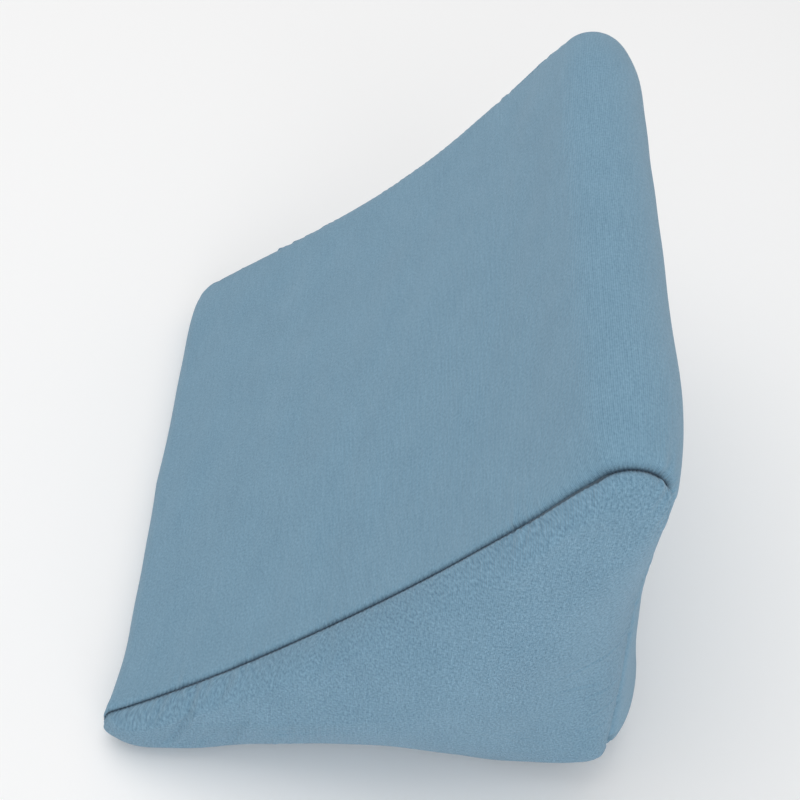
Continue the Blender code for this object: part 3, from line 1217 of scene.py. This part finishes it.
class HeatherKnit:
    """The node group that colours and roughens both cloths, and paints shade at their seams.

    The scales are in features a metre, along the wales' spacing and along the wales.
    """

    wale_pitch: float = 1.25 * MM
    course_pitch: float = 0.90 * MM
    wale_wander: float = 2.6
    wander_scale: Scale = (160.0, 30.0, 1.0)
    streak_scale: Scale = (420.0, 40.0, 1.0)
    grain_scale: Scale = (620.0, 540.0, 1.0)
    mottle_scale: Scale = (26.0, 22.0, 1.0)
    lint_scale: Scale = (420.0, 150.0, 1.0)
    lint_patch_scale: Scale = (38.0, 44.0, 3.0)
    lint_level: float = 0.80
    lint_patch_level: float = 0.22
    lint_colour: Colour = (0.62, 0.66, 0.68, 1.0)
    # Painted shade at the seams: how strongly the cloth is darkened, and to which dark blue
    seam_shade_strength: float = 0.72
    seam_shade_colour: Colour = (0.020, 0.045, 0.075, 1.0)
    wale_height: float = 0.30
    course_height: float = 0.12
    grain_height: float = 0.55
    streak_height: float = 0.25
    grain_roughness: float = 0.05
    inputs = (
        ("Cloth", "NodeSocketVector", None),
        ("Light", "NodeSocketColor", (0.3, 0.45, 0.55, 1.0)),
        ("Dark", "NodeSocketColor", (0.15, 0.28, 0.4, 1.0)),
        ("Wale", "NodeSocketFloat", 0.1),
        ("Streak", "NodeSocketFloat", 0.2),
        ("Grain", "NodeSocketFloat", 0.3),
        ("Mottle", "NodeSocketFloat", 0.1),
        ("Lint", "NodeSocketFloat", 0.5),
        ("Roughness", "NodeSocketFloat", 0.9),
        # Painted shade of the seams, read from the piece's attribute
        ("Painted seam shade", "NodeSocketFloat", 0.0),
    )
    outputs = (
        ("Colour", "NodeSocketColor"),
        ("Roughness", "NodeSocketFloat"),
        ("Height", "NodeSocketFloat"),
    )

    def __init__(self) -> None:
        """Build the group once."""
        self.tree = bpy.data.node_groups.new("heather_knit", "ShaderNodeTree")
        for name, kind, value in self.inputs:
            socket = self.tree.interface.new_socket(name, in_out="INPUT", socket_type=kind)
            if value is not None:
                socket.default_value = value
        for name, kind in self.outputs:
            self.tree.interface.new_socket(name, in_out="OUTPUT", socket_type=kind)
        self.connect()

    def connect(self) -> None:
        """Lay out the knit's wales, streaks, grain, mottling and lint, and the seams' painted
        shade.
        """
        nodes = Nodes(self.tree)
        given = nodes.add("NodeGroupInput").outputs
        cloth = given["Cloth"]
        split = nodes.add("ShaderNodeSeparateXYZ", {0: cloth})
        wander = nodes.noise(cloth, self.wander_scale)
        turns = nodes.math("MULTIPLY", split.outputs[0], 2 * math.pi / self.wale_pitch)
        turns = nodes.math("MULTIPLY_ADD", wander, self.wale_wander, turns)
        wale = nodes.math("SINE", turns)
        rows = nodes.math("MULTIPLY", split.outputs[1], 2 * math.pi / self.course_pitch)
        course = nodes.math("SINE", rows)
        streak = nodes.noise(cloth, self.streak_scale, detail=3.0)
        grain = nodes.noise(cloth, self.grain_scale, detail=3.0)
        mottle = nodes.noise(cloth, self.mottle_scale, detail=3.0)
        level = nodes.math("MULTIPLY_ADD", wale, given["Wale"], 0.5)
        for pattern, name in ((streak, "Streak"), (grain, "Grain"), (mottle, "Mottle")):
            level = nodes.math("MULTIPLY_ADD", pattern, given[name], level)
        level = nodes.add("ShaderNodeClamp", {0: level}).outputs[0]
        colour = nodes.blend(level, given["Dark"], given["Light"])
        lint = nodes.noise(cloth, self.lint_scale, detail=1.0)
        lint = nodes.math("GREATER_THAN", lint, self.lint_level)
        patch = nodes.noise(cloth, self.lint_patch_scale, detail=1.0)
        patch = nodes.math("GREATER_THAN", patch, self.lint_patch_level)
        lint = nodes.math("MULTIPLY", nodes.math("MULTIPLY", lint, patch), given["Lint"])
        colour = nodes.blend(lint, colour, self.lint_colour)
        # Painted shade: the cloth is darkened towards a dark blue in the seams
        seam_shade_share = nodes.math("MULTIPLY", given["Painted seam shade"], self.seam_shade_strength)
        colour = nodes.blend(seam_shade_share, colour, self.seam_shade_colour)
        course = nodes.math("MULTIPLY", course, self.course_height)
        height = nodes.math("MULTIPLY_ADD", wale, self.wale_height, course)
        height = nodes.math("MULTIPLY_ADD", grain, self.grain_height, height)
        height = nodes.math("MULTIPLY_ADD", streak, self.streak_height, height)
        rough = nodes.math("MULTIPLY_ADD", grain, self.grain_roughness, given["Roughness"])
        nodes.add("NodeGroupOutput", {"Colour": colour, "Roughness": rough, "Height": height})

    def dress(self, finish: KnitFinish) -> bpy.types.Material:
        """Make the material of one cloth.

        Args:
            finish: The cloth's colours and evenness.

        Returns:
            A material that reads the piece's own UV map.
        """
        made = bpy.data.materials.new(finish.name)
        made.use_nodes = True
        nodes = Nodes(made.node_tree)
        shader = made.node_tree.nodes["Principled BSDF"]
        cloth = nodes.add("ShaderNodeUVMap", uv_map="cloth").outputs[0]
        knit = nodes.add("ShaderNodeGroup", node_tree=self.tree)
        made.node_tree.links.new(cloth, knit.inputs["Cloth"])
        # The seam's painted shade
        painted_seam_shade = nodes.add("ShaderNodeAttribute", attribute_name="painted_seam_shade").outputs["Fac"]
        made.node_tree.links.new(painted_seam_shade, knit.inputs["Painted seam shade"])
        knit.inputs["Light"].default_value = (*finish.light, 1.0)
        knit.inputs["Dark"].default_value = (*finish.dark, 1.0)
        for name in ("Wale", "Streak", "Grain", "Mottle", "Lint", "Roughness"):
            knit.inputs[name].default_value = getattr(finish, name.lower())
        bump = nodes.add("ShaderNodeBump", {
            "Height": knit.outputs["Height"], "Strength": 1.0, "Distance": finish.relief,
        })
        links = made.node_tree.links
        links.new(knit.outputs["Colour"], shader.inputs["Base Color"])
        links.new(knit.outputs["Roughness"], shader.inputs["Roughness"])
        links.new(bump.outputs[0], shader.inputs["Normal"])
        shader.inputs["Sheen Weight"].default_value = finish.sheen
        shader.inputs["Sheen Roughness"].default_value = finish.sheen_roughness
        shader.inputs["Specular IOR Level"].default_value = finish.specular
        return made


def thread_material(finish: ThreadFinish) -> bpy.types.Material:
    """Make the material of the sewing thread, with the twist of its plies.

    Args:
        finish: The thread's colour and roughness.

    Returns:
        A material that reads object coordinates.
    """
    made = bpy.data.materials.new(finish.name)
    made.use_nodes = True
    nodes = Nodes(made.node_tree)
    shader = made.node_tree.nodes["Principled BSDF"]
    place = nodes.add("ShaderNodeTexCoord").outputs["Object"]
    twist = nodes.noise(place, (finish.twist_scale,) * 3, detail=1.0)
    mix = nodes.math("MULTIPLY_ADD", twist, 0.5, 0.5)
    dark = tuple(finish.shadow * value for value in finish.colour)
    colour = nodes.blend(mix, (*dark, 1.0), (*finish.colour, 1.0))
    links = made.node_tree.links
    links.new(colour, shader.inputs["Base Color"])
    shader.inputs["Roughness"].default_value = finish.roughness
    return made


# Studio


@dataclass(frozen=True)
class Lamp:
    """A round soft lamp that faces the pillow."""

    name: str
    power: float
    size: float
    place: tuple[float, float, float]


@dataclass(frozen=True)
class Studio:
    """The floor, the lights and the camera.

    Angles are in degrees. The camera is turned from a view along +Y, and looks at the aim.
    """

    azimuth: float = -1.90
    elevation: float = 47.31
    roll: float = 5.61
    lens: float = 64.36
    distance: float = 1.1062
    aim: tuple[float, float, float] = (0.0043, 0.0148, 0.1277)
    sky: float = 0.62
    lamps: tuple[Lamp, ...] = (
        Lamp("high_lamp", 20.0, 2.6, (-0.5, 0.5, 2.3)),
        Lamp("front_lamp", 20.0, 2.2, (0.5, -2.3, 0.9)),
    )
    lamp_target: tuple[float, float, float] = (0.0, 0.0, 0.15)
    floor_size: float = 14.0
    floor_colour: tuple[float, float, float, float] = (0.97, 0.97, 0.97, 1.0)
    floor_roughness: float = 0.9
    sensor: float = 36.0

    def place_camera(self) -> None:
        """Set the camera to the photograph's angle."""
        turn, tilt = math.radians(self.azimuth), math.radians(self.elevation)
        back = Vector((math.sin(turn) * math.cos(tilt), -math.cos(turn) * math.cos(tilt),
                       math.sin(tilt)))
        level = Vector((math.cos(turn), math.sin(turn), 0.0))
        upright = level.cross(-back)
        roll = math.radians(self.roll)
        right = level * math.cos(roll) + upright * math.sin(roll)
        up = upright * math.cos(roll) - level * math.sin(roll)
        data = bpy.data.cameras.new("photo_view")
        data.lens = self.lens
        data.sensor_width = self.sensor
        camera = bpy.data.objects.new("photo_view", data)
        axes = Matrix((right, up, back)).transposed().to_4x4()
        camera.matrix_world = Matrix.Translation(Vector(self.aim) + back * self.distance) @ axes
        bpy.context.scene.collection.objects.link(camera)
        bpy.context.scene.camera = camera

    def add_floor(self) -> None:
        """Lay the pale floor under the pillow."""
        mesh = bmesh.new()
        bmesh.ops.create_grid(mesh, x_segments=1, y_segments=1, size=self.floor_size / 2)
        data = bpy.data.meshes.new("floor")
        mesh.to_mesh(data)
        mesh.free()
        made = bpy.data.materials.new("pale_floor")
        made.use_nodes = True
        shader = made.node_tree.nodes["Principled BSDF"]
        shader.inputs["Base Color"].default_value = self.floor_colour
        shader.inputs["Roughness"].default_value = self.floor_roughness
        data.materials.append(made)
        floor = bpy.data.objects.new("floor", data)
        bpy.context.scene.collection.objects.link(floor)

    def add_lights(self) -> None:
        """Hang the soft lamps in an evenly lit room."""
        world = bpy.data.worlds.new("soft_room")
        world.use_nodes = True
        sky = world.node_tree.nodes["Background"]
        sky.inputs[0].default_value = (1.0, 1.0, 1.0, 1.0)
        sky.inputs[1].default_value = self.sky
        bpy.context.scene.world = world
        for lamp in self.lamps:
            data = bpy.data.lights.new(lamp.name, "AREA")
            data.shape = "DISK"
            data.size = lamp.size
            data.energy = lamp.power
            made = bpy.data.objects.new(lamp.name, data)
            made.location = lamp.place
            aim = Vector(self.lamp_target) - made.location
            made.rotation_euler = aim.to_track_quat("-Z", "Y").to_euler()
            bpy.context.scene.collection.objects.link(made)

    def build(self) -> None:
        """Set up the whole studio."""
        bpy.context.scene.view_settings.view_transform = "Standard"
        self.place_camera()
        self.add_floor()
        self.add_lights()


WRAP_CLOTH = KnitFinish(
    name="brushed_knit", light=(0.268, 0.446, 0.580), dark=(0.112, 0.226, 0.325), wale=0.14,
    streak=0.16, grain=0.55, mottle=0.10, lint=0.30, relief=0.35 * MM, roughness=0.92, sheen=0.20,
)
# The ends' copy of the knit is a little darker than the wrap's as painted shade of the upright
# ends; its stronger grain and lint are the cloth's own
SHADED_SIDE_CLOTH = KnitFinish(
    name="side_knit_with_painted_shade", light=(0.262, 0.438, 0.575), dark=(0.100, 0.206, 0.302), wale=0.03,
    streak=0.06, grain=0.95, mottle=0.14, lint=0.45, relief=0.50 * MM, roughness=0.94, sheen=0.20,
)
# The thread's dark colour is partly its own and partly painted shade of the seam's crack
THREAD_WITH_PAINTED_SHADE = ThreadFinish(name="sewing_thread", colour=(0.050, 0.095, 0.150), roughness=0.7)

# Creases of the near end, read off the photo, as x and z in millimetres
NEAR_CREASES = (
    Crease(((-117, 84), (-121, 73), (-126, 58), (-134, 36), (-145, 12)), 1.5, 1.7, 2.3, 0.04, 0.30),
    Crease(((-110, 88), (-116, 76), (-121, 64)), 0.8, 0.9, 1.8, 0.06, 0.60),
    Crease(((-91, 104), (-98, 91), (-105, 78), (-110, 66)), 0.9, 1.1, 2.0, 0.08, 0.55),
    Crease(((-77, 90), (-86, 64), (-94, 38), (-100, 18)), 0.9, 1.2, 2.4, 0.45, 0.25),
    Crease(((-140, 66), (-147, 53), (-155, 38)), 0.8, 1.0, 1.8, 0.08, 0.50),
    Crease(((-150, 58), (-155, 47), (-160, 38)), 0.5, 0.6, 1.5, 0.10, 0.50),
    Crease(((-56, 78), (-64, 50), (-70, 22)), 0.6, 0.8, 2.4, 0.50, 0.25),
    Crease(((-27, 151), (-35, 131), (-42, 114)), 0.4, 0.5, 2.4, 0.15, 0.60),
    Crease(((-108, 46), (-116, 30), (-122, 14)), 0.6, 0.8, 2.2, 0.50, 0.20),
    Crease(((160, 158), (143, 153), (117, 144), (104, 138)), 0.35, 0.45, 1.6, 0.10, 0.55),
    Crease(((152, 126), (131, 127), (106, 126)), 0.30, 0.40, 1.5, 0.30, 0.55),
    Crease(((162, 118), (146, 116), (132, 112)), 0.30, 0.35, 1.5, 0.10, 0.60),
    Crease(((163, 98), (148, 94), (136, 92)), 0.30, 0.35, 1.4, 0.10, 0.60),
    Crease(((162, 78), (148, 76), (134, 78)), 0.25, 0.35, 1.4, 0.10, 0.60),
)
# Creases of the far end, which the photo doesn't show: the same kinds at other places
FAR_CREASES = (
    Crease(((-104, 94), (-109, 80), (-113, 60), (-116, 38)), 1.3, 1.6, 2.3, 0.06, 0.35),
    Crease(((-134, 70), (-141, 56), (-149, 40)), 0.9, 1.1, 2.0, 0.10, 0.50),
    Crease(((-66, 120), (-74, 100), (-80, 84)), 0.6, 0.8, 2.2, 0.12, 0.55),
    Crease(((-84, 66), (-92, 42), (-99, 20)), 0.7, 0.9, 2.4, 0.45, 0.25),
    Crease(((12, 186), (6, 164), (2, 146)), 0.4, 0.5, 2.4, 0.15, 0.60),
    Crease(((158, 138), (136, 136), (112, 138)), 0.35, 0.45, 1.6, 0.10, 0.55),
    Crease(((156, 96), (134, 102), (112, 110)), 0.30, 0.40, 1.5, 0.10, 0.55),
)


def main() -> None:
    """Build the pillow and its studio, and report each piece."""
    logging.basicConfig(level=logging.INFO, format="%(name)s: %(message)s")
    rng = np.random.default_rng(SEED)
    pillow = Pillow()
    outline = pillow.view.trace(WRAP_STEPS)
    side_outline = pillow.view.trace(COVER_STEPS)
    seams = {end: Seam(rng, outline) for end in End}
    knit = HeatherKnit()
    wrap_cloth, side_cloth = knit.dress(WRAP_CLOTH), knit.dress(SHADED_SIDE_CLOTH)
    thread = thread_material(THREAD_WITH_PAINTED_SHADE)
    made = [WrapPanel(pillow, outline, seams, rng).build(wrap_cloth)]
    for end, creases in ((End.NEAR, NEAR_CREASES), (End.FAR, FAR_CREASES)):
        seam = seams[end]
        cover = SideCover(pillow, side_outline, seam, end, creases, rng)
        made.append(cover.build(side_cloth))
        made.append(SeamThread(pillow, outline, seam, end, rng).build(thread))
    for piece in made:
        LOG.info("%s: %d faces", piece.name, len(piece.data.polygons))
    Studio().build()


if __name__ == "__main__":
    main()
